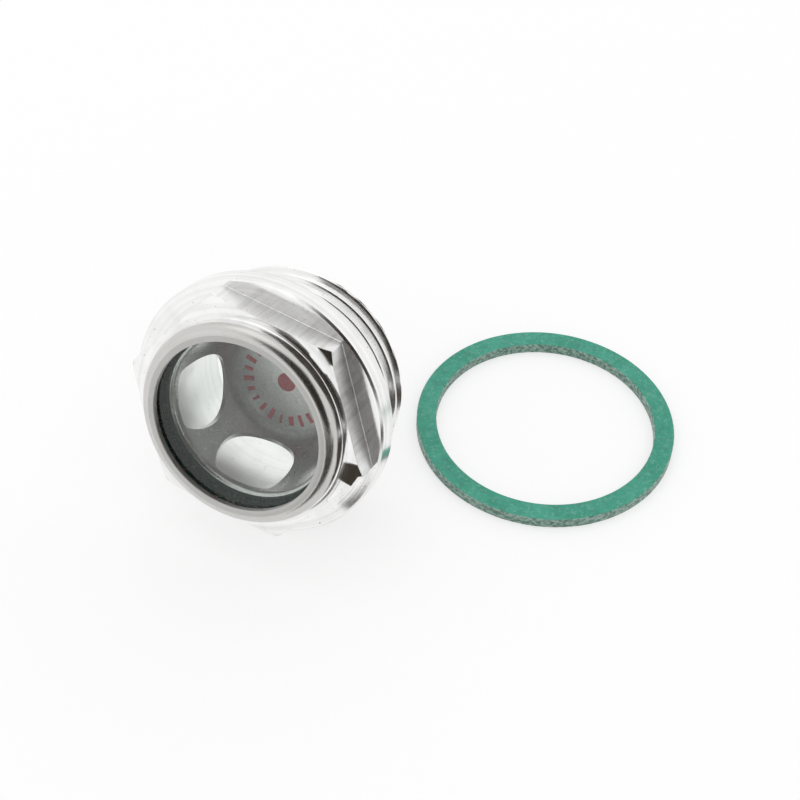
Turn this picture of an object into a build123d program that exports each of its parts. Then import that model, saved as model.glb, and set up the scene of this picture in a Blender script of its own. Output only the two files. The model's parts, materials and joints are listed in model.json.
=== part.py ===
"""Oil level sight plug: a turned aluminium plug with a flush glass window, and its sealing washer.

The plug screws into a G1 port in the wall of a hydraulic tank. It lies on its side as it comes
to rest, on the rear edge of its flange and the end of its thread, with the window facing -Y and up.
The washer lies flat beside it. Millimetres, +Z up, floor at Z = 0.
"""

import os
from math import atan2, cos, degrees, radians, sin, sqrt, tan

from build123d import *

# ---- Plug body. Heights are measured along the plug's axis from the flange's seat, front is +.
thread_diameter = 33.249      # G1 major diameter
thread_length = 10.6          # seat to the end of the thread
thread_full_length = 8.6      # seat to the start of the lead-in taper
lead_in_diameter = 31.0       # at the end of the lead-in taper
relief_width = 2.0            # undercut behind the flange
relief_depth = 1.3
flange_diameter = 38.5
flange_thickness = 3.6
edge_break = 0.3
across_flats = 32.0
hexagon_height = 3.6
hexagon_turn = -6.3           # first corner from the level direction, about the plug's axis
corner_angle = 30.0           # turned chamfer on the hexagon's corners
corner_land = 1.5             # from the flats to the circle where the corner chamfer starts
collar_diameter = 30.0
collar_height = 2.7           # hexagon face to the top of the lip
lip_opening = 25.4
lip_thickness = 0.8
lip_round = 1.4
bore_diameter = 25.8
bore_break = 0.5

# ---- What the lip holds down: glass, seal ring and reflector, from front to rear.
glass_thickness = 4.0
glass_diameter = 26.8
glass_bevel = 0.25
seal_wall = 0.4               # sleeve of the seal around the glass
seal_foot = 0.8               # flat of the seal under the glass
seal_opening = 24.9
pocket_clearance = 0.05       # radial, around the seal and the reflector's rim
reflector_sheet = 0.5
reflector_depth = 11.5        # rim to the dish's floor, inside
reflector_mouth = 24.2        # inside, at the rim
reflector_floor = 17.2        # flat part of the floor
reflector_bend = 1.2          # inner radius where the wall meets the floor
reflector_rim_bend = 0.6
oil_opening_radius = 5.5      # four openings in the dish's wall let the oil in behind the glass
oil_opening_drop = 4.5        # rim to the middle of the openings' round end
oil_opening_rim = 1.1         # wall left whole between the rim and the openings
oil_opening_corner = 1.2      # the openings' two corners at the rim
oil_opening_turn = 230.5      # direction between the first two, from level, about the plug's axis
oil_opening_pair = 78.0       # angle between the two of a pair; the other pair is opposite

# ---- Sealing washer.
washer_outer = 39.4
washer_inner = 33.4
washer_thickness = 1.75
washer_edge = 0.1
washer_side_gap = 31.65       # plug's seat centre to the washer's centre, across the plug
washer_back_gap = 29.5        # the same, along the plug

# ---- Heights and radii that follow.
thread_r = thread_diameter / 2
flange_r = flange_diameter / 2
collar_r = collar_diameter / 2
opening_r = lip_opening / 2
bore_r = bore_diameter / 2
glass_r = glass_diameter / 2
seal_r = glass_r + seal_wall
pocket_r = seal_r + pocket_clearance
hexagon_top = flange_thickness + hexagon_height
lip_top = hexagon_top + collar_height
glass_top = lip_top - lip_thickness
glass_bottom = glass_top - glass_thickness
rim_top = glass_bottom - seal_foot
shoulder = rim_top - reflector_sheet
oil_opening_turns = [
    oil_opening_turn + side + pair
    for pair in (0, 180)
    for side in (-oil_opening_pair / 2, oil_opening_pair / 2)
]

# ---- Rest: the flange's rear edge and the start of the lead-in taper both touch the floor.
rest_tilt = degrees(atan2(flange_r - thread_r, thread_full_length + edge_break))
seat_height = flange_r * cos(radians(rest_tilt)) - edge_break * sin(radians(rest_tilt))

# ---- The bounding box of plug and washer is centred on the origin.
washer_r = washer_outer / 2
front_reach = (
    (lip_top - lip_round) * cos(radians(rest_tilt))
    + (collar_r - lip_round) * sin(radians(rest_tilt))
    + lip_round
)
plug_x = (flange_r - washer_side_gap - washer_r) / 2
plug_y = (front_reach - washer_back_gap - washer_r) / 2

front = Vector(0, -cos(radians(rest_tilt)), sin(radians(rest_tilt)))
seat = Plane(origin=(plug_x, plug_y, seat_height), x_dir=(1, 0, 0), z_dir=front)
section = Plane(origin=seat.origin, x_dir=seat.x_dir, z_dir=-seat.y_dir)   # x radius, y height
plug_axis = Axis(seat.origin, front)


def turned_outline():
    """Half section of the body as it leaves the lathe, without its hexagon."""
    lip_start = (collar_r, lip_top - lip_round)
    lip_end = (collar_r - lip_round, lip_top)
    relief_r = thread_r - relief_depth
    with BuildLine() as outline:
        Polyline(
            (opening_r, glass_top),
            (pocket_r, glass_top),
            (pocket_r, shoulder),
            (bore_r, shoulder),
            (bore_r, bore_break - thread_length),
            (bore_r + bore_break, -thread_length),
            (lead_in_diameter / 2, -thread_length),
            (thread_r, -thread_full_length),
            (thread_r, -relief_width - relief_depth),
            (relief_r, -relief_width),
            (relief_r, 0),
            (flange_r - edge_break, 0),
            (flange_r, edge_break),
            (flange_r, flange_thickness - edge_break),
            (flange_r - edge_break, flange_thickness),
            (collar_r, flange_thickness),
            lip_start,
        )
        RadiusArc(lip_start, lip_end, -lip_round)
        Polyline(lip_end, (opening_r, lip_top), (opening_r, glass_top))
    return outline.line


def make_body():
    """Hexagon body: thread, flange, hexagon and the collar whose lip is rolled over the glass."""
    corner_r = across_flats / 2 / cos(radians(30))
    chamfer_r = across_flats / 2 + corner_land
    overhang = corner_r + 1
    with BuildPart() as body:
        with BuildSketch(section):
            with BuildLine():
                add(turned_outline())
            make_face()
        revolve(axis=plug_axis)
        with BuildSketch(seat.offset(flange_thickness)):
            RegularPolygon(across_flats / 2, 6, major_radius=False, rotation=hexagon_turn)
            Circle(pocket_r, mode=Mode.SUBTRACT)
        extrude(amount=hexagon_height)
        with BuildSketch(section):
            drop = (overhang - chamfer_r) * tan(radians(corner_angle))
            Polygon(
                (chamfer_r, hexagon_top),
                (overhang, hexagon_top),
                (overhang, hexagon_top - drop),
                align=None,
            )
        revolve(axis=plug_axis, mode=Mode.SUBTRACT)
    return body.part


def make_glass():
    """Flat window with bevelled edges."""
    with BuildPart() as glass:
        with BuildSketch(seat.offset(glass_bottom)):
            Circle(glass_r)
        extrude(amount=glass_thickness)
        chamfer(glass.edges(), glass_bevel)
    return glass.part


def make_glass_seal():
    """Ring of L section: a sleeve around the glass and a flat foot under it."""
    with BuildPart() as ring:
        with BuildSketch(section):
            with BuildLine():
                Polyline(
                    (seal_opening / 2, rim_top),
                    (seal_r, rim_top),
                    (seal_r, glass_top),
                    (glass_r, glass_top),
                    (glass_r, glass_bottom),
                    (seal_opening / 2, glass_bottom),
                    close=True,
                )
            make_face()
        revolve(axis=plug_axis)
    return ring.part


def opening_plane(turn):
    """Plane through the plug's axis, facing out at one turn; its x runs along the axis to the front."""
    outward = seat.x_dir * cos(radians(turn)) + seat.y_dir * sin(radians(turn))
    middle = seat.origin + front * (rim_top - oil_opening_drop)
    return Plane(origin=middle, x_dir=front, z_dir=outward)


def make_reflector():
    """Deep-drawn dish of thin sheet, its rim clamped between the seal and the body's shoulder."""
    half = reflector_sheet / 2
    rim_r = seal_r
    floor_z = rim_top - reflector_depth
    opening_top = oil_opening_drop - oil_opening_rim
    corner_out = sqrt(oil_opening_radius**2 - opening_top**2)
    with BuildPart() as dish:
        with BuildSketch(section):
            with BuildLine():
                FilletPolyline(
                    (rim_r, rim_top - half),
                    (reflector_mouth / 2 + half, rim_top - half),
                    (reflector_floor / 2 + half, floor_z - half),
                    (0, floor_z - half),
                    radius=[reflector_rim_bend, reflector_bend + half],
                )
            trace(line_width=reflector_sheet)
        revolve(axis=plug_axis)
        for turn in oil_opening_turns:
            with BuildSketch(opening_plane(turn)) as opening:
                with BuildLine():
                    Line((opening_top, -corner_out), (opening_top, corner_out))
                    ThreePointArc(
                        (opening_top, corner_out),
                        (-oil_opening_radius, 0),
                        (opening_top, -corner_out),
                    )
                make_face()
                fillet(opening.vertices(), oil_opening_corner)
            extrude(amount=seal_r, mode=Mode.SUBTRACT)
    return dish.part


def make_washer():
    """Flat fibre washer lying on the floor beside the plug."""
    centre = Plane(origin=(plug_x + washer_side_gap, plug_y + washer_back_gap, 0))
    with BuildPart() as washer:
        with BuildSketch(centre):
            Circle(washer_r)
            Circle(washer_inner / 2, mode=Mode.SUBTRACT)
        extrude(amount=washer_thickness)
        chamfer(washer.edges(), washer_edge)
    return washer.part


os.makedirs("parts", exist_ok=True)
pieces = {
    "body": make_body(),
    "glass": make_glass(),
    "glass_seal": make_glass_seal(),
    "reflector": make_reflector(),
    "sealing_washer": make_washer(),
}
for name, piece in pieces.items():
    piece.label = name
    export_step(piece, f"parts/{name}.step")
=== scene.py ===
"""Oil level sight plug and its sealing washer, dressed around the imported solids.

Sizes are in millimetres, along and around the plug's own axis, until a piece is placed.
Heights run from the flange's seat, and the window's side is +.
"""

import json
import math

import bpy
import bmesh
from mathutils import Matrix, Vector


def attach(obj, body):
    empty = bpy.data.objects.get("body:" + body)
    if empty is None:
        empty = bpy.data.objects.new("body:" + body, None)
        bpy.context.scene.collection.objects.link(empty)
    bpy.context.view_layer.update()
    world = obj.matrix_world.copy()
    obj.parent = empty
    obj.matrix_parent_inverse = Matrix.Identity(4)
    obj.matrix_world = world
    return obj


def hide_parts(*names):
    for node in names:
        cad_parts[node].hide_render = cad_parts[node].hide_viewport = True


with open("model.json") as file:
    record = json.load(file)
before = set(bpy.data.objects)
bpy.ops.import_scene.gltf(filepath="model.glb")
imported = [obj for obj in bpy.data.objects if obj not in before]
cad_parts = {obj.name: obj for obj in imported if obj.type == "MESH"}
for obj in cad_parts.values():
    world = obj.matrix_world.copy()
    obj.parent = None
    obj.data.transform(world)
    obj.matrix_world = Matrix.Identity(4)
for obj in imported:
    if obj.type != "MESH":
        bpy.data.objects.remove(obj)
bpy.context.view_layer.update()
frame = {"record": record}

MM = 0.001
MOUNTS = {mount["name"]: mount for mount in frame["record"]["mounts"]}

# ---- Thread
THREAD_R = MOUNTS["thread"]["dims"]["r_mm"]
THREAD_PITCH = 2.309
THREAD_DEPTH = 1.479
THREAD_ROUNDING = 0.45
THREAD_PHASE = 0.5
THREAD_FLANK = math.radians(27.5)
THREAD_END = -10.6
TAPER_START = -8.6
TAPER_END_R = 15.5
SPIGOT_ROWS = 112
RELIEF_END = -2.0
RELIEF_R = THREAD_R - 1.3

# ---- Flange and hexagon
FLANGE_R = 19.25
FLANGE_TOP = 3.6
EDGE_BREAK = 0.3
HEXAGON_HALF = 16.0
HEXAGON_TOP = 7.2
HEXAGON_TURN = math.radians(-6.3)
CORNER_CHAMFER = math.radians(30)
CHAMFER_R = HEXAGON_HALF + 1.5
CORNER_ROUND = 0.25
COLUMNS_BETWEEN_CORNERS = 58
FINE_EDGE = 0.07
DRAWN_STREAKS = 90.0

# ---- Collar and the lip rolled over the window
COLLAR_R = 15.0
COLLAR_ROOT = 0.25
LIP_TOP = 9.9
LIP_ROUND = 1.4
LIP_OPENING = 12.7
LIP_EDGE = 0.12
LIP_EDGE_WIDTH = 0.5
LIP_EDGE_STEPS = 4
LIP_ROUND_STEPS = 14
COLLAR_ROOT_STEPS = 5
LIP_BANDS = LIP_EDGE_STEPS + 3
COLLAR_BANDS = COLLAR_ROOT_STEPS + 1
POCKET_R = 13.85
BORE_R = 12.9
BORE_BREAK = 0.5
SHOULDER = 3.8

# ---- Window, seal and reflector
GLASS_TOP = 9.1
GLASS_BOTTOM = 5.1
GLASS_R = 13.4
GLASS_BEVEL = 0.25
GLASS_STEPS = 192
SEAL_R = 13.8
SEAL_FOOT = 4.3
SEAL_OPENING = 12.45
SEAL_STEPS = 192
DISH_SHEET = 0.5
DISH_FLOOR = -7.2
DISH_FLOOR_R = 8.6
DISH_MOUTH_R = 12.1
DISH_BEND = 1.2
DISH_RIM_BEND = 0.35
DISH_BEND_STEPS = 8
DISH_STEPS = 224
OIL_OPENING_R = 5.5
OIL_OPENING_HEIGHT = -0.2
OIL_OPENING_TOP = 3.4
OIL_OPENING_CORNER = 1.2
OIL_OPENING_TURN = math.radians(230.5)
OIL_OPENING_PAIR = math.radians(78)
OIL_OPENING_COUNT = 4
PUNCH_CLEAR = 0.6
PUNCH_ROUND_STEPS = 60
PUNCH_CORNER_STEPS = 6

# ---- Washer
WASHER_HOLE_R = MOUNTS["washer_hole"]["dims"]["r_mm"]
WASHER_R = 19.7
WASHER_THICKNESS = 2 * MOUNTS["washer_hole"]["pos_m"][2] / MM
WASHER_EDGE = 0.1
WASHER_STEPS = 256

# ---- Meshes of all pieces
ON_AXIS = 1e-6
SHARP_ANGLE = math.radians(32)


# ---------------------------------------------------------------- places

def plug_place():
    """Matrix from the plug's own millimetres to the row: origin in the seat, z out of the window."""
    rear = Vector(MOUNTS["thread"]["axis"])
    on_axis = Vector(MOUNTS["thread"]["pos_m"])
    seat = Vector(MOUNTS["seat"]["pos_m"])
    centre = on_axis + rear * (seat - on_axis).dot(rear)
    side = Vector((1, 0, 0))
    front = -rear
    turn = Matrix((side, front.cross(side), front)).transposed()
    return Matrix.Translation(centre) @ turn.to_4x4() @ Matrix.Scale(MM, 4)


def washer_place():
    """Matrix from the washer's own millimetres to the row: origin under its centre, on the floor."""
    x, y, _ = MOUNTS["washer_hole"]["pos_m"]
    return Matrix.Translation((x, y, 0)) @ Matrix.Scale(MM, 4)


PLUG = plug_place()
WASHER = washer_place()


# ---------------------------------------------------------------- meshes

def finished_mesh(name, shape):
    """Mesh data of a finished bmesh, which is freed."""
    data = bpy.data.meshes.new(name)
    shape.to_mesh(data)
    shape.free()
    return data


def placed_object(name, data):
    """New object in the scene."""
    obj = bpy.data.objects.new(name, data)
    bpy.context.scene.collection.objects.link(obj)
    return obj


def turned_mesh(name, outline_at, angles, zone_of=None):
    """Closed mesh of a section carried once round the z axis.

    outline_at(angle) gives the section's closed outline as (radius, height) pairs, as many at every
    angle. A point on the axis becomes one vertex. zone_of(i) gives the material of band i.
    """
    columns = [outline_at(angle) for angle in angles]
    count = len(columns[0])
    mesh = bmesh.new()
    grid = []
    for i in range(count):
        if columns[0][i][0] < ON_AXIS:
            point = mesh.verts.new((0, 0, columns[0][i][1]))
            grid.append([point] * len(angles))
            continue
        ring = []
        for angle, column in zip(angles, columns):
            radius, height = column[i]
            ring.append(mesh.verts.new((radius * math.cos(angle), radius * math.sin(angle), height)))
        grid.append(ring)
    for i in range(count):
        low, high = grid[i], grid[(i + 1) % count]
        if low[0] is low[1] and high[0] is high[1]:
            continue
        for j in range(len(angles)):
            k = (j + 1) % len(angles)
            corners = []
            for corner in (low[j], low[k], high[k], high[j]):
                if corner not in corners:
                    corners.append(corner)
            face = mesh.faces.new(corners)
            face.material_index = zone_of(i) if zone_of else 0
    bmesh.ops.recalc_face_normals(mesh, faces=mesh.faces)
    return finished_mesh(name, mesh)


def even_angles(count):
    return [2 * math.pi * i / count for i in range(count)]


def arc(centre, radius, start, end, steps):
    """Points of an arc in the section plane, from angle start to end in degrees, both included."""
    points = []
    for i in range(steps + 1):
        angle = math.radians(start + (end - start) * i / steps)
        points.append((centre[0] + radius * math.cos(angle), centre[1] + radius * math.sin(angle)))
    return points


class Nodes:
    """Node tree, with short calls for what geometry and materials both use."""

    def __init__(self, tree):
        self.tree = tree

    def link(self, source, target):
        """Links a socket to the target, or sets the target to a plain value."""
        if isinstance(source, (int, float, str, tuple)):
            target.default_value = source
        else:
            self.tree.links.new(source, target)

    def math(self, operation, *values):
        node = self.tree.nodes.new("ShaderNodeMath")
        node.operation = operation
        for socket, value in zip(node.inputs, values):
            self.link(value, socket)
        return node.outputs[0]

    def vector(self, x, y, z):
        node = self.tree.nodes.new("ShaderNodeCombineXYZ")
        for socket, value in zip(node.inputs, (x, y, z)):
            self.link(value, socket)
        return node.outputs[0]


class NodeMaker(Nodes):
    """Geometry node group with named inputs."""

    def __init__(self, name):
        super().__init__(bpy.data.node_groups.new(name, "GeometryNodeTree"))
        self.source = self.tree.nodes.new("NodeGroupInput")
        self.given = {}

    def input(self, name, kind):
        self.tree.interface.new_socket(name, in_out="INPUT", socket_type="NodeSocket" + kind)
        self.given[name] = self.source.outputs[name]

    def node(self, kind, **links):
        """New node, its inputs linked or set by name."""
        node = self.tree.nodes.new(kind)
        for name, source in links.items():
            self.link(source, node.inputs[name.replace("_", " ")])
        return node

    def finish(self, geometry, selection=True):
        """Realizes what was made, gives it the Material input and closes the group."""
        realize = self.node("GeometryNodeRealizeInstances", Geometry=geometry)
        paint = self.node("GeometryNodeSetMaterial", Geometry=realize.outputs[0], Selection=selection,
                          Material=self.given["Material"])
        self.tree.interface.new_socket("Geometry", in_out="OUTPUT", socket_type="NodeSocketGeometry")
        result = self.tree.nodes.new("NodeGroupOutput")
        self.link(paint.outputs[0], result.inputs[0])
        return self.tree


def finish_piece(name, data, place, replaced, material=None):
    """Puts a finished mesh in its place in the row, attaches it to the root and hides the CAD node it stands
    in for, if any.
    """
    data.transform(place)
    if material:
        data.materials.clear()
        data.materials.append(material)
        data.polygons.foreach_set("material_index", [0] * len(data.polygons))
    data.shade_smooth()
    data.set_sharp_from_angle(angle=SHARP_ANGLE)
    piece = placed_object(name, data)
    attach(piece, "root")
    if replaced:
        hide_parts(replaced)


# ---------------------------------------------------------------- body

def hexagon_radius(angle):
    """Distance from the axis to the hexagon's wall at one angle, its corners slightly rounded."""
    sixth = math.pi / 3
    off_corner = (angle - HEXAGON_TURN + sixth / 2) % sixth - sixth / 2
    centre = (HEXAGON_HALF - CORNER_ROUND) / math.cos(sixth / 2)
    if abs(off_corner) < corner_reach():
        across = centre * math.sin(off_corner)
        return centre * math.cos(off_corner) + math.sqrt(CORNER_ROUND ** 2 - across ** 2)
    return HEXAGON_HALF / math.cos(sixth / 2 - abs(off_corner))


def corner_reach():
    """Angle from a corner to where its rounding meets the flat."""
    sixth = math.pi / 3
    centre = (HEXAGON_HALF - CORNER_ROUND) / math.cos(sixth / 2)
    across = CORNER_ROUND * math.sin(sixth / 2)
    return math.atan2(across, centre + CORNER_ROUND * math.cos(sixth / 2))


def body_angles():
    """Angles of the body's columns: close together round each corner, even between corners."""
    reach = corner_reach()
    span = math.pi / 3 - 2 * reach
    angles = []
    for corner in range(6):
        start = HEXAGON_TURN + corner * math.pi / 3
        angles += [start + reach * step for step in (-1, -0.5, 0, 0.5)]
        for i in range(COLUMNS_BETWEEN_CORNERS):
            angles.append(start + reach + span * i / COLUMNS_BETWEEN_CORNERS)
    return angles


def lip_outline():
    """From the lip's edge over the glass, over the top and down the collar to the hexagon."""
    points = [(LIP_OPENING, GLASS_TOP)]
    points += arc((LIP_OPENING + LIP_EDGE, LIP_TOP - LIP_EDGE), LIP_EDGE, 180, 90, LIP_EDGE_STEPS)
    points += [(LIP_OPENING + LIP_EDGE_WIDTH, LIP_TOP)]
    points += arc((COLLAR_R - LIP_ROUND, LIP_TOP - LIP_ROUND), LIP_ROUND, 90, 0, LIP_ROUND_STEPS)
    root = (COLLAR_R + COLLAR_ROOT, HEXAGON_TOP + COLLAR_ROOT)
    points += arc(root, COLLAR_ROOT, 180, 270, COLLAR_ROOT_STEPS)
    return points


def hexagon_outline(angle):
    """Over the hexagon's top face, its corner chamfer and down its wall to the flange."""
    wall = hexagon_radius(angle)
    rim = wall - FINE_EDGE
    slope = math.tan(CORNER_CHAMFER)

    def top(radius):
        return HEXAGON_TOP - max(0, radius - CHAMFER_R) * slope

    inner = min(rim - FINE_EDGE, CHAMFER_R)
    points = [(inner, HEXAGON_TOP), (rim, top(rim)), (wall, top(wall) - FINE_EDGE)]
    points += [(wall, FLANGE_TOP + FINE_EDGE), (wall + FINE_EDGE, FLANGE_TOP)]
    return points


def flange_outline():
    return [
        (FLANGE_R - EDGE_BREAK, FLANGE_TOP),
        (FLANGE_R, FLANGE_TOP - EDGE_BREAK),
        (FLANGE_R, EDGE_BREAK),
        (FLANGE_R - EDGE_BREAK, 0),
        (RELIEF_R + FINE_EDGE, 0),
        (RELIEF_R, -FINE_EDGE),
        (RELIEF_R, RELIEF_END + FINE_EDGE),
    ]


def spigot_outline():
    """The spigot before its thread is cut: relief, full diameter and lead-in taper."""
    points = []
    for i in range(SPIGOT_ROWS + 1):
        height = RELIEF_END + (THREAD_END - RELIEF_END) * i / SPIGOT_ROWS
        leaving_relief = RELIEF_R + (RELIEF_END - height)
        along_taper = (TAPER_START - height) / (TAPER_START - THREAD_END)
        taper = THREAD_R - (THREAD_R - TAPER_END_R) * max(0, along_taper)
        points.append((min(THREAD_R, leaving_relief, taper), height))
    return points


def bore_outline():
    return [
        (BORE_R + BORE_BREAK, THREAD_END),
        (BORE_R, THREAD_END + BORE_BREAK),
        (BORE_R, SHOULDER),
        (POCKET_R, SHOULDER),
        (POCKET_R, GLASS_TOP),
    ]


def thread_cutter():
    """Node group that cuts a helical thread into the points marked as spigot."""
    maker = NodeMaker("thread_cutter")
    maker.input("Geometry", "Geometry")
    for name in ("Major Radius", "Pitch", "Depth", "Flank Angle", "Rounding", "Phase"):
        maker.input(name, "Float")
    maker.input("Material", "Material")
    given, math_node = maker.given, maker.math
    position = maker.node("GeometryNodeInputPosition").outputs[0]
    x, y, z = maker.node("ShaderNodeSeparateXYZ", Vector=position).outputs
    radius = math_node("SQRT", math_node("ADD", math_node("POWER", x, 2), math_node("POWER", y, 2)))
    turns = math_node("DIVIDE", math_node("ARCTAN2", y, x), 2 * math.pi)
    along = math_node("SUBTRACT", math_node("DIVIDE", z, given["Pitch"]), turns)
    place = math_node("FRACT", math_node("ADD", along, given["Phase"]))
    off_crest = math_node("ABSOLUTE", math_node("SUBTRACT", place, 0.5))
    along_flank = math_node("MULTIPLY", math_node("SUBTRACT", 0.25, off_crest), given["Pitch"])
    rise = math_node("DIVIDE", along_flank, math_node("TANGENT", given["Flank Angle"]))
    middle = math_node("SUBTRACT", given["Major Radius"], math_node("MULTIPLY", given["Depth"], 0.5))
    flank = math_node("ADD", middle, rise)
    crested = math_node("SMOOTH_MIN", flank, given["Major Radius"], given["Rounding"])
    root = math_node("SUBTRACT", given["Major Radius"], given["Depth"])
    cut = math_node("MINIMUM", math_node("SMOOTH_MAX", crested, root, given["Rounding"]), radius)
    share = math_node("DIVIDE", cut, radius)
    spigot = maker.node("GeometryNodeInputNamedAttribute", Name="spigot")
    spigot.data_type = "BOOLEAN"
    mark = spigot.outputs["Attribute"]
    moved = maker.vector(math_node("MULTIPLY", x, share), math_node("MULTIPLY", y, share), z)
    move = maker.node("GeometryNodeSetPosition", Geometry=given["Geometry"], Selection=mark, Position=moved)
    return maker.finish(move.outputs[0], selection=mark)


def evaluated_mesh(name, start, tree, settings):
    """Mesh that a node group makes from a start mesh, with the group's inputs set by name."""
    maker = placed_object(name + "_maker", start)
    modifier = maker.modifiers.new("nodes", "NODES")
    modifier.node_group = tree
    sockets = {item.name: item.identifier for item in tree.interface.items_tree
               if item.item_type == "SOCKET" and item.in_out == "INPUT"}
    for key, value in settings.items():
        modifier[sockets[key]] = value
    bpy.context.view_layer.update()
    view = bpy.context.evaluated_depsgraph_get()
    data = bpy.data.meshes.new_from_object(maker.evaluated_get(view), depsgraph=view)
    data.name = name
    bpy.data.objects.remove(maker)
    return data


def make_body(skins):
    """Body with lip, hexagon, flange and cut thread. skins are its materials by zone."""
    order = ["lip", "roll", "collar", "face", "flat", "rim", "seat", "thread", "bore"]
    lip, flange, spigot, bore = lip_outline(), flange_outline(), spigot_outline(), bore_outline()
    hexagon_rows = len(hexagon_outline(0))
    zones = ["lip"] * LIP_BANDS + ["roll"] * (len(lip) - LIP_BANDS - COLLAR_BANDS - 1)
    zones += ["collar"] * COLLAR_BANDS + ["face"]
    zones += ["face", "flat", "flat", "flat", "face"]
    zones += ["rim"] * 3 + ["seat"] * (len(flange) - 3)
    zones += ["thread"] * (len(spigot) - 1)
    zones += ["seat"] + ["bore"] * len(bore)
    assert len(zones) == len(lip) + hexagon_rows + len(flange) + len(spigot) + len(bore)

    def outline_at(angle):
        return lip + hexagon_outline(angle) + flange + spigot + bore

    start = turned_mesh("body", outline_at, body_angles(), lambda i: order.index(zones[i]))
    marks = start.attributes.new("spigot", "BOOLEAN", "POINT")
    for vertex, mark in zip(start.vertices, marks.data):
        outside = math.hypot(vertex.co.x, vertex.co.y) > BORE_R + BORE_BREAK + EDGE_BREAK
        mark.value = outside and vertex.co.z < RELIEF_END + FINE_EDGE / 2
    for name in order:
        start.materials.append(skins[name])
    data = evaluated_mesh("turned_body", start, thread_cutter(), {
        "Major Radius": THREAD_R,
        "Pitch": THREAD_PITCH,
        "Depth": THREAD_DEPTH,
        "Flank Angle": THREAD_FLANK,
        "Rounding": THREAD_ROUNDING,
        "Phase": THREAD_PHASE,
        "Material": skins["thread"],
    })
    finish_piece("turned_body", data, PLUG, "body")


# ---------------------------------------------------------------- window, seal, reflector, washer

def make_glass(skin):
    outline = [
        (0, GLASS_BOTTOM),
        (GLASS_R - GLASS_BEVEL, GLASS_BOTTOM),
        (GLASS_R, GLASS_BOTTOM + GLASS_BEVEL),
        (GLASS_R, GLASS_TOP - GLASS_BEVEL),
        (GLASS_R - GLASS_BEVEL, GLASS_TOP),
        (0, GLASS_TOP),
    ]
    data = turned_mesh("window", lambda angle: outline, even_angles(GLASS_STEPS))
    finish_piece("window", data, PLUG, "glass", skin)


def make_seal(skin):
    outline = [
        (SEAL_OPENING, SEAL_FOOT),
        (SEAL_R, SEAL_FOOT),
        (SEAL_R, GLASS_TOP),
        (GLASS_R, GLASS_TOP),
        (GLASS_R, GLASS_BOTTOM),
        (SEAL_OPENING, GLASS_BOTTOM),
    ]
    data = turned_mesh("window_seal", lambda angle: outline, even_angles(SEAL_STEPS))
    finish_piece("window_seal", data, PLUG, "glass_seal", skin)


def dish_outline():
    """Section of the drawn sheet: bright side from the middle of the floor to the rim, and back."""
    wall = math.degrees(math.atan2(SEAL_FOOT - DISH_FLOOR, DISH_MOUTH_R - DISH_FLOOR_R))
    inside = rounded((0, DISH_FLOOR), (DISH_FLOOR_R, DISH_FLOOR), (DISH_MOUTH_R, SEAL_FOOT), DISH_BEND)
    inside = inside[:-1] + rounded((DISH_FLOOR_R, DISH_FLOOR), (DISH_MOUTH_R, SEAL_FOOT),
                                   (SEAL_R, SEAL_FOOT), DISH_RIM_BEND + DISH_SHEET)[1:]
    shift = DISH_SHEET / math.sin(math.radians(wall)) - DISH_SHEET / math.tan(math.radians(wall))
    floor = DISH_FLOOR - DISH_SHEET
    floor_r, mouth_r = DISH_FLOOR_R + shift, DISH_MOUTH_R + shift
    rim = SEAL_FOOT - DISH_SHEET
    outside = rounded((0, floor), (floor_r, floor), (mouth_r, rim), DISH_BEND + DISH_SHEET)
    outside = outside[:-1] + rounded((floor_r, floor), (mouth_r, rim), (SEAL_R, rim), DISH_RIM_BEND)[1:]
    return inside + outside[::-1]


def rounded(before, corner, after, radius):
    """before, the corner rounded to radius, and after."""
    corner, before, after = Vector(corner), Vector(before), Vector(after)
    towards, away = (before - corner).normalized(), (after - corner).normalized()
    half = math.acos(max(-1, min(1, towards.dot(away)))) / 2
    middle = corner + (towards + away).normalized() * (radius / math.sin(half))
    first = corner + towards * (radius / math.tan(half)) - middle
    last = corner + away * (radius / math.tan(half)) - middle
    points = [tuple(before)]
    for i in range(DISH_BEND_STEPS + 1):
        spoke = first.normalized().slerp(last.normalized(), i / DISH_BEND_STEPS)
        points.append(tuple(middle + spoke * radius))
    points.append(tuple(after))
    return points


def opening_punch():
    """Solid in the shape of one oil opening, standing out along x: round below, flat above."""
    low = OIL_OPENING_TOP - OIL_OPENING_CORNER
    to_corner = OIL_OPENING_R - OIL_OPENING_CORNER
    side = math.sqrt(to_corner ** 2 - low ** 2)
    turn = math.degrees(math.atan2(low, side))
    outline = arc((side, low), OIL_OPENING_CORNER, 90, turn, PUNCH_CORNER_STEPS)
    outline += arc((0, 0), OIL_OPENING_R, turn, -180 - turn, PUNCH_ROUND_STEPS)[1:]
    outline += arc((-side, low), OIL_OPENING_CORNER, 180 - turn, 90, PUNCH_CORNER_STEPS)[1:]
    mesh = bmesh.new()
    rings = []
    for out in (DISH_FLOOR_R - PUNCH_CLEAR, SEAL_R + PUNCH_CLEAR):
        rings.append([mesh.verts.new((out, across, up + OIL_OPENING_HEIGHT)) for across, up in outline])
    mesh.faces.new(rings[0])
    mesh.faces.new(rings[1][::-1])
    for i in range(len(outline)):
        k = (i + 1) % len(outline)
        mesh.faces.new((rings[0][i], rings[1][i], rings[1][k], rings[0][k]))
    bmesh.ops.recalc_face_normals(mesh, faces=mesh.faces)
    return placed_object("opening_punch", finished_mesh("opening_punch", mesh))


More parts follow.
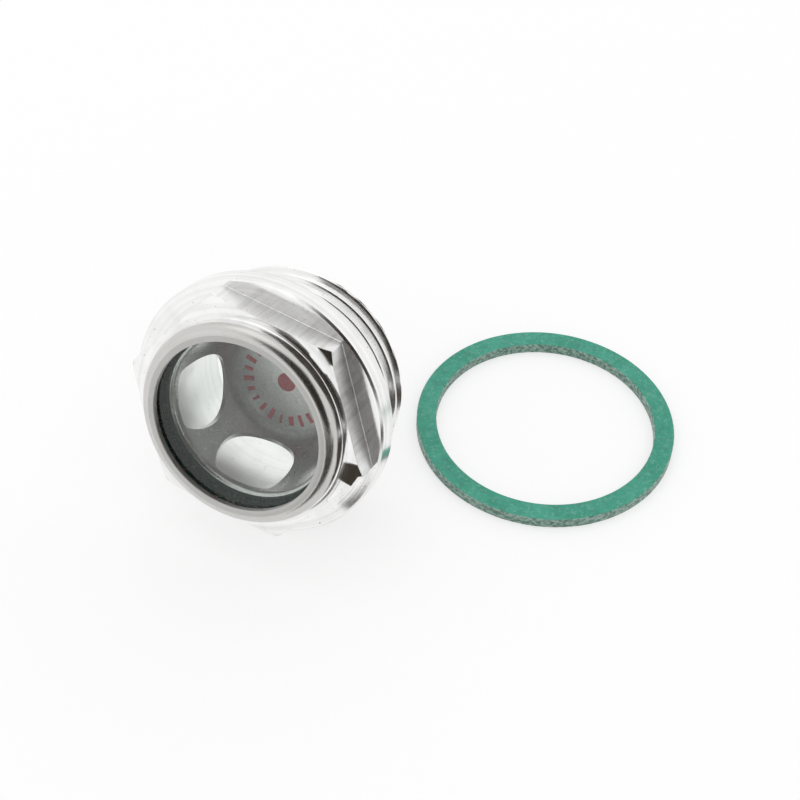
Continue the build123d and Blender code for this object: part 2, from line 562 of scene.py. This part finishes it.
def opening_cutter():
    """Node group that punches openings through the dish's wall, in two opposite pairs."""
    maker = NodeMaker("opening_cutter")
    maker.input("Geometry", "Geometry")
    maker.input("Punch", "Object")
    maker.input("Count", "Int")
    maker.input("Turn", "Float")
    maker.input("Pair Angle", "Float")
    maker.input("Material", "Material")
    line = maker.node("GeometryNodeMeshLine", Count=maker.given["Count"])
    line.mode = "OFFSET"
    index = maker.node("GeometryNodeInputIndex").outputs[0]
    side = maker.math("SUBTRACT", maker.math("MODULO", index, 2), 0.5)
    pair = maker.math("FLOOR", maker.math("DIVIDE", index, 2))
    turn = maker.math("ADD", maker.given["Turn"], maker.math("MULTIPLY", side, maker.given["Pair Angle"]))
    turn = maker.math("ADD", turn, maker.math("MULTIPLY", pair, math.pi))
    punch = maker.node("GeometryNodeObjectInfo", Object=maker.given["Punch"])
    place = maker.node("GeometryNodeInstanceOnPoints", Points=line.outputs[0],
                       Instance=punch.outputs["Geometry"], Rotation=maker.vector(0, 0, turn))
    centre = maker.node("GeometryNodeSetPosition", Geometry=place.outputs[0], Position=maker.vector(0, 0, 0))
    punches = maker.node("GeometryNodeRealizeInstances", Geometry=centre.outputs[0])
    cut = maker.node("GeometryNodeMeshBoolean")
    cut.operation = "DIFFERENCE"
    cut.solver = "MANIFOLD"
    maker.link(maker.given["Geometry"], cut.inputs["Mesh 1"])
    maker.link(punches.outputs[0], cut.inputs["Mesh 2"])
    return maker.finish(cut.outputs[0])


def make_reflector(skin):
    outline = dish_outline()
    start = turned_mesh("dish", lambda angle: outline, even_angles(DISH_STEPS))
    punch = opening_punch()
    data = evaluated_mesh("dish", start, opening_cutter(), {
        "Punch": punch,
        "Count": OIL_OPENING_COUNT,
        "Turn": OIL_OPENING_TURN,
        "Pair Angle": OIL_OPENING_PAIR,
        "Material": skin,
    })
    bpy.data.objects.remove(punch)
    finish_piece("dish", data, PLUG, "reflector", skin)


def make_washer(skin):
    low, high = WASHER_HOLE_R, WASHER_R
    top = WASHER_THICKNESS
    outline = [(low + WASHER_EDGE, 0), (low, WASHER_EDGE), (low, top - WASHER_EDGE)]
    outline += [(low + WASHER_EDGE, top), (high - WASHER_EDGE, top)]
    outline += [(high, top - WASHER_EDGE), (high, WASHER_EDGE), (high - WASHER_EDGE, 0)]
    data = turned_mesh("fibre_washer", lambda angle: outline, even_angles(WASHER_STEPS))
    finish_piece("fibre_washer", data, WASHER, "sealing_washer", skin)


# ---------------------------------------------------------------- print on the reflector

MARK_RING_R = 6.15
MARK_COUNT = 24
MARK_LENGTH = 2.0
MARK_WIDTH = 0.42
MARK_NARROWEST = (0.55, 0.8, 1.0)
MARK_WIDEST = (1.0, 1.9, 1.0)
MARK_SEED = 3
DOT_R = 1.43
DOT_STEPS = 48
INK_THICKNESS = 0.04


def mark_printer():
    """Node group: a ring of short printed strokes of uneven width, and a dot in the middle."""
    maker = NodeMaker("mark_printer")
    maker.input("Geometry", "Geometry")
    maker.input("Count", "Int")
    for name in ("Ring Radius", "Stroke Length", "Stroke Width", "Dot Radius", "Thickness"):
        maker.input(name, "Float")
    maker.input("Seed", "Int")
    maker.input("Material", "Material")
    given = maker.given
    ring = maker.node("GeometryNodeMeshCircle", Vertices=given["Count"], Radius=given["Ring Radius"])
    size = maker.vector(given["Stroke Length"], given["Stroke Width"], given["Thickness"])
    stroke = maker.node("GeometryNodeMeshCube", Size=size)
    index = maker.node("GeometryNodeInputIndex").outputs[0]
    angle = maker.math("MULTIPLY", maker.math("DIVIDE", index, given["Count"]), 2 * math.pi)
    uneven = maker.node("FunctionNodeRandomValue", Seed=given["Seed"])
    uneven.data_type = "FLOAT_VECTOR"
    uneven.inputs["Min"].default_value = MARK_NARROWEST
    uneven.inputs["Max"].default_value = MARK_WIDEST
    place = maker.node("GeometryNodeInstanceOnPoints", Points=ring.outputs[0],
                       Instance=stroke.outputs["Mesh"], Rotation=maker.vector(0.0, 0.0, angle),
                       Scale=uneven.outputs["Value"])
    dot = maker.node("GeometryNodeMeshCylinder", Vertices=DOT_STEPS, Radius=given["Dot Radius"],
                     Depth=given["Thickness"])
    both = maker.node("GeometryNodeJoinGeometry")
    maker.link(place.outputs[0], both.inputs[0])
    maker.link(dot.outputs["Mesh"], both.inputs[0])
    return maker.finish(both.outputs[0])


def make_marks(skin):
    start = bpy.data.meshes.new("marks_start")
    data = evaluated_mesh("print_marks", start, mark_printer(), {
        "Count": MARK_COUNT,
        "Ring Radius": MARK_RING_R,
        "Stroke Length": MARK_LENGTH,
        "Stroke Width": MARK_WIDTH,
        "Dot Radius": DOT_R,
        "Thickness": INK_THICKNESS,
        "Seed": MARK_SEED,
        "Material": skin,
    })
    place = PLUG @ Matrix.Translation((0, 0, DISH_FLOOR + INK_THICKNESS / 2))
    finish_piece("print_marks", data, place, None, skin)


# ---------------------------------------------------------------- materials

class Shading(Nodes):
    """Shader node tree, with short calls for the nodes that it uses."""

    def ramp(self, value, low, high, to_low=0.0, to_high=1.0):
        """value from low..high carried to to_low..to_high, and held at the ends."""
        node = self.tree.nodes.new("ShaderNodeMapRange")
        for socket, given in zip(node.inputs, (value, low, high, to_low, to_high)):
            self.link(given, socket)
        return node.outputs[0]

    def mix(self, share, first, second):
        node = self.tree.nodes.new("ShaderNodeMix")
        node.data_type = "RGBA"
        self.link(share, node.inputs["Factor"])
        self.link(first, node.inputs[6])
        self.link(second, node.inputs[7])
        return node.outputs[2]

    def noise(self, where, scale, detail):
        node = self.tree.nodes.new("ShaderNodeTexNoise")
        self.link(where, node.inputs["Vector"])
        node.inputs["Scale"].default_value = scale
        node.inputs["Detail"].default_value = detail
        return node.outputs[0]

    def seen_plainly(self):
        """1 where the camera looks straight on, in a mirror or through glass, else 0."""
        rays = self.tree.nodes.new("ShaderNodeLightPath").outputs
        either = self.math("MAXIMUM", rays["Is Camera Ray"], rays["Is Glossy Ray"])
        return self.math("MAXIMUM", either, rays["Is Transmission Ray"])


class Skin(Shading):
    """One material."""

    def __init__(self, name):
        self.material = bpy.data.materials.new(name)
        self.material.use_nodes = True
        super().__init__(self.material.node_tree)
        self.shader = self.tree.nodes["Principled BSDF"]

    def set(self, **values):
        """Plain values on the shader's own sockets."""
        for name, value in values.items():
            self.shader.inputs[name.replace("_", " ")].default_value = value

    def shade(self, name, source):
        self.link(source, self.shader.inputs[name])

    def bump(self, height, distance):
        node = self.tree.nodes.new("ShaderNodeBump")
        node.inputs["Distance"].default_value = distance
        self.link(height, node.inputs["Height"])
        self.shade("Normal", node.outputs[0])

    def own_place(self, place):
        """Object coordinates in a piece's own millimetres: the vector, radius, height and angle."""
        coordinates = self.tree.nodes.new("ShaderNodeTexCoord")
        mapping = self.tree.nodes.new("ShaderNodeMapping")
        mapping.vector_type = "TEXTURE"
        location, rotation, scale = place.decompose()
        mapping.inputs["Location"].default_value = location
        mapping.inputs["Rotation"].default_value = rotation.to_euler()
        mapping.inputs["Scale"].default_value = scale
        self.link(coordinates.outputs["Object"], mapping.inputs["Vector"])
        where = mapping.outputs[0]
        split = self.tree.nodes.new("ShaderNodeSeparateXYZ")
        self.link(where, split.inputs[0])
        x, y, height = split.outputs
        radius = self.math("SQRT", self.math("ADD", self.math("POWER", x, 2), self.math("POWER", y, 2)))
        return where, radius, height, self.math("ARCTAN2", y, x)


BRIGHT = (0.94, 0.94, 0.935, 1)
# Lip and roll greys: partly their own duller tone, partly painted shade. They are kept darker than BRIGHT to
# stand in for darker reflections on the lip.
LIP_TONE_AND_SHADE = (0.52, 0.515, 0.50, 1)
ROLL_TONE_AND_SHADE = (0.64, 0.635, 0.62, 1)
DULL = (0.50, 0.49, 0.47, 1)
STAIN = (0.25, 0.23, 0.20, 1)
GLASS_TINT = (0.955, 0.985, 0.965, 1)
PANE_TINT = (0.93, 0.97, 0.95, 1)
RUBBER_DARK = (0.010, 0.070, 0.048, 1)
RUBBER_LIGHT = (0.018, 0.105, 0.075, 1)
SHEET_LIGHT = (0.66, 0.66, 0.65, 1)
SHEET_GREY = (0.56, 0.56, 0.55, 1)
SHEET_SPECK = (0.35, 0.34, 0.33, 1)
INK_FRESH = (0.78, 0.045, 0.07, 1)
INK_RUBBED = (0.66, 0.14, 0.15, 1)
FIBRE_DEEP = (0.020, 0.300, 0.195, 1)
FIBRE_LIGHT = (0.050, 0.380, 0.260, 1)
FIBRE_MOTTLE = (0.16, 0.48, 0.37, 1)
FIBRE_STRAND = (0.34, 0.60, 0.50, 1)
FIBRE_BLOTCH = (0.045, 0.230, 0.165, 1)
FIBRE_SIDE_DARK = (0.085, 0.200, 0.155, 1)
FIBRE_SIDE_PALE = (0.400, 0.560, 0.480, 1)

# ---- The dish is duller where its wall bends into its floor.
BEND_FULL = 0.9
BEND_FADE_IN = 1.4
BEND_FADE_UP = 1.6
BEND_DULLNESS = 0.34


def turned_skin(name, color, rough, mark_depth, streak, mark_scale=4.0, banding=0.30, drawn=False):
    """Bare aluminium: fine tool marks, duller bands, uneven sheen and small stains.

    rough is its middle roughness, streak how far that varies with the marks, and banding the share
    of dullness in the bands. mark_depth is in millimetres. The marks of a turned face run round the
    axis, closer together with a higher mark_scale. Those of a drawn face run along it.
    """
    skin = Skin(name)
    where, radius, height, angle = skin.own_place(PLUG)
    if drawn:
        marks_at = skin.vector(skin.math("MULTIPLY", angle, DRAWN_STREAKS), 0.0,
                               skin.math("MULTIPLY", height, 0.25))
        bands_at = skin.vector(skin.math("MULTIPLY", angle, DRAWN_STREAKS / 4), 0.0,
                               skin.math("MULTIPLY", height, 0.1))
    else:
        marks_at = skin.vector(skin.math("MULTIPLY", radius, mark_scale),
                               skin.math("MULTIPLY", height, mark_scale),
                               skin.math("MULTIPLY", skin.math("SINE", angle), 0.35))
        bands_at = skin.vector(skin.math("MULTIPLY", radius, 1.4), skin.math("MULTIPLY", height, 1.4),
                               skin.math("MULTIPLY", skin.math("COSINE", angle), 0.5))
    marks = skin.noise(marks_at, 1.0, 3.0)
    bands = skin.noise(bands_at, 1.0, 4.0)
    cloud = skin.noise(where, 0.35, 3.0)
    specks = skin.ramp(skin.noise(where, 2.6, 1.0), 0.72, 0.78)
    tone = skin.mix(skin.ramp(bands, 0.42, 0.66, 0.0, banding), color, DULL)
    tone = skin.mix(skin.ramp(cloud, 0.45, 0.75, 0.0, 0.15), tone, DULL)
    skin.shade("Base Color", skin.mix(skin.math("MULTIPLY", specks, 0.6), tone, STAIN))
    sheen = skin.math("ADD", skin.ramp(marks, 0.3, 0.7, rough - streak / 2, rough + streak / 2),
                      skin.ramp(cloud, 0.3, 0.7, -0.03, 0.03))
    skin.shade("Roughness", sheen)
    skin.set(Metallic=1.0)
    skin.bump(marks, mark_depth * MM)
    return skin.material


def body_skins():
    """Skins of the body by zone."""
    return {
        # The lip and roll skins take darker greys: partly their own tone, partly painted shade for the
        # darker reflections on the lip.
        "lip": turned_skin("satin_lip", LIP_TONE_AND_SHADE, 0.38, mark_depth=0.008, streak=0.10),
        "roll": turned_skin("rolled_edge", ROLL_TONE_AND_SHADE, 0.26, mark_depth=0.006, streak=0.08, banding=0.40),
        "collar": turned_skin("bright_collar", BRIGHT, 0.20, mark_depth=0.006, streak=0.08),
        "face": turned_skin("turned_face", BRIGHT, 0.12, mark_depth=0.003, streak=0.06, mark_scale=5.0,
                            banding=0.22),
        "flat": turned_skin("hexagon_flat", BRIGHT, 0.46, mark_depth=0.010, streak=0.14, banding=0.35,
                            drawn=True),
        "rim": turned_skin("flange_rim", BRIGHT, 0.20, mark_depth=0.005, streak=0.08, mark_scale=5.0),
        "seat": turned_skin("flange_seat", BRIGHT, 0.22, mark_depth=0.006, streak=0.08, mark_scale=5.0),
        "thread": turned_skin("cut_thread", BRIGHT, 0.18, mark_depth=0.005, streak=0.08, banding=0.20),
        "bore": turned_skin("bored_inside", BRIGHT, 0.36, mark_depth=0.004, streak=0.10, mark_scale=2.0,
                            banding=0.15),
    }


def glass_skin():
    """Clear float glass, faintly green. Lamps shine through it as through a plain pane."""
    skin = Skin("clear_glass")
    where = skin.own_place(PLUG)[0]
    skin.set(Base_Color=GLASS_TINT, IOR=1.5, Transmission_Weight=1.0)
    smear = skin.noise(where, 0.25, 3.0)
    skin.shade("Roughness", skin.ramp(smear, 0.5, 0.8, 0.0, 0.02))
    pane = skin.tree.nodes.new("ShaderNodeBsdfTransparent")
    pane.inputs["Color"].default_value = PANE_TINT
    rays = skin.tree.nodes.new("ShaderNodeLightPath")
    either = skin.tree.nodes.new("ShaderNodeMixShader")
    skin.link(rays.outputs["Is Shadow Ray"], either.inputs[0])
    skin.link(skin.shader.outputs[0], either.inputs[1])
    skin.link(pane.outputs[0], either.inputs[2])
    skin.link(either.outputs[0], skin.tree.nodes["Material Output"].inputs["Surface"])
    return skin.material


def seal_skin():
    """Dark green rubber with a fine matt grain."""
    skin = Skin("green_rubber")
    where = skin.own_place(PLUG)[0]
    grain = skin.noise(where, 3.0, 4.0)
    skin.shade("Base Color", skin.mix(grain, RUBBER_DARK, RUBBER_LIGHT))
    skin.shade("Roughness", skin.ramp(grain, 0.3, 0.7, 0.45, 0.65))
    skin.bump(grain, 0.006 * MM)
    return skin.material


def reflector_skin():
    """Bright drawn aluminium sheet: faint draw lines, a fine grain and dull specks."""
    skin = Skin("drawn_sheet")
    where, radius, height, angle = skin.own_place(PLUG)
    grain = skin.noise(where, 2.2, 4.0)
    lines = skin.noise(skin.vector(skin.math("MULTIPLY", angle, 9.0), skin.math("MULTIPLY", radius, 0.25),
                                   skin.math("MULTIPLY", height, 0.25)), 1.0, 2.0)
    specks = skin.ramp(skin.noise(where, 5.0, 1.0), 0.66, 0.74)
    tone = skin.mix(skin.ramp(grain, 0.3, 0.7), SHEET_LIGHT, SHEET_GREY)
    skin.shade("Base Color", skin.mix(skin.math("MULTIPLY", specks, 0.35), tone, SHEET_SPECK))
    bend = skin.math("MULTIPLY",
                     skin.ramp(radius, DISH_FLOOR_R - BEND_FADE_IN, DISH_FLOOR_R - BEND_FULL),
                     skin.ramp(height, DISH_FLOOR + BEND_FADE_UP, DISH_FLOOR + BEND_FULL))
    rough = skin.math("ADD", skin.ramp(grain, 0.3, 0.7, 0.26, 0.34), skin.ramp(lines, 0.3, 0.7, -0.02, 0.03))
    skin.shade("Roughness", skin.math("ADD", rough, skin.math("MULTIPLY", bend, BEND_DULLNESS)))
    skin.set(Metallic=1.0)
    skin.bump(grain, 0.004 * MM)
    return skin.material


def ink_skin():
    """Thin red print, rubbed in places."""
    skin = Skin("red_ink")
    where = skin.own_place(PLUG)[0]
    rub = skin.noise(where, 1.6, 3.0)
    red = skin.mix(skin.ramp(rub, 0.45, 0.7), INK_FRESH, INK_RUBBED)
    skin.shade("Base Color", red)
    skin.shade("Roughness", skin.ramp(rub, 0.3, 0.7, 0.35, 0.55))
    return skin.material


def fibre_skin():
    """Compressed fibre: green with pale short fibres and darker blotches, greyer on its cut sides."""
    skin = Skin("compressed_fibre")
    where, radius, height, angle = skin.own_place(WASHER)
    stretched = skin.vector(skin.math("MULTIPLY", radius, 1.1), skin.math("MULTIPLY", angle, 14.0), height)
    fibres = skin.ramp(skin.noise(stretched, 2.2, 5.0), 0.56, 0.74)
    cloud = skin.noise(where, 0.30, 4.0)
    mottle = skin.noise(where, 1.5, 5.0)
    blotches = skin.ramp(skin.noise(where, 0.9, 3.0), 0.56, 0.70)
    green = skin.mix(skin.ramp(cloud, 0.35, 0.65), FIBRE_DEEP, FIBRE_LIGHT)
    green = skin.mix(skin.ramp(mottle, 0.50, 0.72, 0.0, 0.45), green, FIBRE_MOTTLE)
    green = skin.mix(skin.math("MULTIPLY", fibres, 0.40), green, FIBRE_STRAND)
    green = skin.mix(skin.math("MULTIPLY", blotches, 0.55), green, FIBRE_BLOTCH)
    cut = skin.math("MAXIMUM", skin.ramp(radius, WASHER_R - WASHER_EDGE, WASHER_R - WASHER_EDGE / 2),
                    skin.ramp(radius, WASHER_HOLE_R + WASHER_EDGE, WASHER_HOLE_R + WASHER_EDGE / 2))
    layers = skin.noise(skin.vector(skin.math("MULTIPLY", angle, 34.0), radius,
                                    skin.math("MULTIPLY", height, 2.6)), 1.0, 5.0)
    side = skin.mix(skin.ramp(layers, 0.38, 0.62), FIBRE_SIDE_DARK, FIBRE_SIDE_PALE)
    skin.shade("Base Color", skin.mix(cut, green, side))
    skin.shade("Roughness", skin.ramp(cloud, 0.3, 0.7, 0.36, 0.52))
    grain = skin.math("ADD", mottle, skin.math("MULTIPLY", fibres, 0.4))
    skin.bump(grain, 0.06 * MM)
    return skin.material


# ---------------------------------------------------------------- studio

FLOOR_R = 0.6
FLOOR_STEPS = 96
FLOOR_COLOR = (0.50, 0.50, 0.50, 1)
FLOOR_GLOW = 0.57
TENT_LEVEL = 0.80
CARD_COLOR = (0.06, 0.05, 0.04, 1)
DARK_CARDS = {
    # name: middle, direction it faces, half width, half height
    "standing_card": (Vector((0.075, -0.145, 0.130)), Vector((-0.075, 0.145, -0.130)), 0.13, 0.14),
    "lying_card": (Vector((0.115, -0.170, 0.0005)), Vector((0, 0, 1)), 0.125, 0.12),
}
SOFTBOX_PLACE = Vector((-0.25, 0.15, 0.75))
SOFTBOX_SIDE = 0.6
SOFTBOX_POWER = 0.4
LOOK_AT = Vector((-0.0067, 0.0067, 0.0))
VIEW_AZIMUTH = math.radians(23.633)
VIEW_ELEVATION = math.radians(46.038)
VIEW_ROLL = math.radians(3.161)
VIEW_DISTANCE = 0.270608
VIEW_LENS = 78.312
SENSOR_WIDTH = 36
NEAREST_SEEN = 0.01
FARTHEST_SEEN = 20


def make_floor():
    """Floor that reads as plain white to the camera, metal and glass, and keeps the object's shadow."""
    floor = bmesh.new()
    bmesh.ops.create_circle(floor, cap_ends=True, segments=FLOOR_STEPS, radius=FLOOR_R)
    data = finished_mesh("floor", floor)
    skin = Skin("pale_floor")
    skin.shade("Emission Strength", skin.math("MULTIPLY", skin.seen_plainly(), FLOOR_GLOW))
    skin.set(Base_Color=FLOOR_COLOR, Emission_Color=(1, 1, 1, 1), Roughness=0.8, Specular_IOR_Level=0)
    data.materials.append(skin.material)
    obj = placed_object("floor", data)


def make_dark_card(name):
    """Dark card before the object, at its right, that only bright metal and glass show."""
    middle, facing, half_width, half_height = DARK_CARDS[name]
    card = bmesh.new()
    bmesh.ops.create_grid(card, x_segments=1, y_segments=1, size=1.0)
    aim = facing.to_track_quat("Z", "Y").to_matrix().to_4x4()
    place = Matrix.Translation(middle) @ aim @ Matrix.Diagonal((half_width, half_height, 1, 1))
    bmesh.ops.transform(card, matrix=place, verts=card.verts)
    data = finished_mesh(name, card)
    skin = Skin(name)
    skin.set(Base_Color=CARD_COLOR, Roughness=0.9, Specular_IOR_Level=0)
    data.materials.append(skin.material)
    obj = placed_object(name, data)
    obj.visible_camera = False
    obj.visible_diffuse = False
    obj.visible_shadow = False


def make_softbox():
    """Weak square lamp overhead, aimed at the origin."""
    lamp = bpy.data.lights.new("overhead", "AREA")
    lamp.shape = "SQUARE"
    lamp.size = SOFTBOX_SIDE
    lamp.energy = SOFTBOX_POWER
    obj = placed_object("overhead", lamp)
    obj.location = SOFTBOX_PLACE
    obj.rotation_euler = SOFTBOX_PLACE.to_track_quat("Z", "Y").to_euler()


def make_world():
    """White room. The camera, metal and glass see it at full white, and it lights at TENT_LEVEL."""
    world = bpy.data.worlds.new("studio")
    bpy.context.scene.world = world
    world.use_nodes = True
    room = Shading(world.node_tree)
    background = room.tree.nodes["Background"]
    background.inputs["Color"].default_value = (1, 1, 1, 1)
    level = room.math("ADD", room.math("MULTIPLY", room.seen_plainly(), 1 - TENT_LEVEL), TENT_LEVEL)
    room.link(level, background.inputs["Strength"])


def make_camera():
    data = bpy.data.cameras.new("camera")
    data.sensor_width = SENSOR_WIDTH
    data.lens = VIEW_LENS
    data.clip_start = NEAREST_SEEN
    data.clip_end = FARTHEST_SEEN
    camera = placed_object("camera", data)
    across, up = math.cos(VIEW_ELEVATION), math.sin(VIEW_ELEVATION)
    back = Vector((math.sin(VIEW_AZIMUTH) * across, -math.cos(VIEW_AZIMUTH) * across, up))
    right = Vector((math.cos(VIEW_AZIMUTH), math.sin(VIEW_AZIMUTH), 0))
    above = back.cross(right)
    rolled = right * math.cos(VIEW_ROLL) + above * math.sin(VIEW_ROLL)
    turn = Matrix((rolled, back.cross(rolled), back)).transposed()
    camera.matrix_world = Matrix.Translation(LOOK_AT + back * VIEW_DISTANCE) @ turn.to_4x4()
    bpy.context.scene.camera = camera


# ---------------------------------------------------------------- build

make_camera()
make_world()
make_floor()
for card_name in DARK_CARDS:
    make_dark_card(card_name)
make_softbox()

make_body(body_skins())
make_glass(glass_skin())
make_seal(seal_skin())
make_reflector(reflector_skin())
make_marks(ink_skin())
make_washer(fibre_skin())

bpy.context.scene.view_settings.view_transform = "Standard"
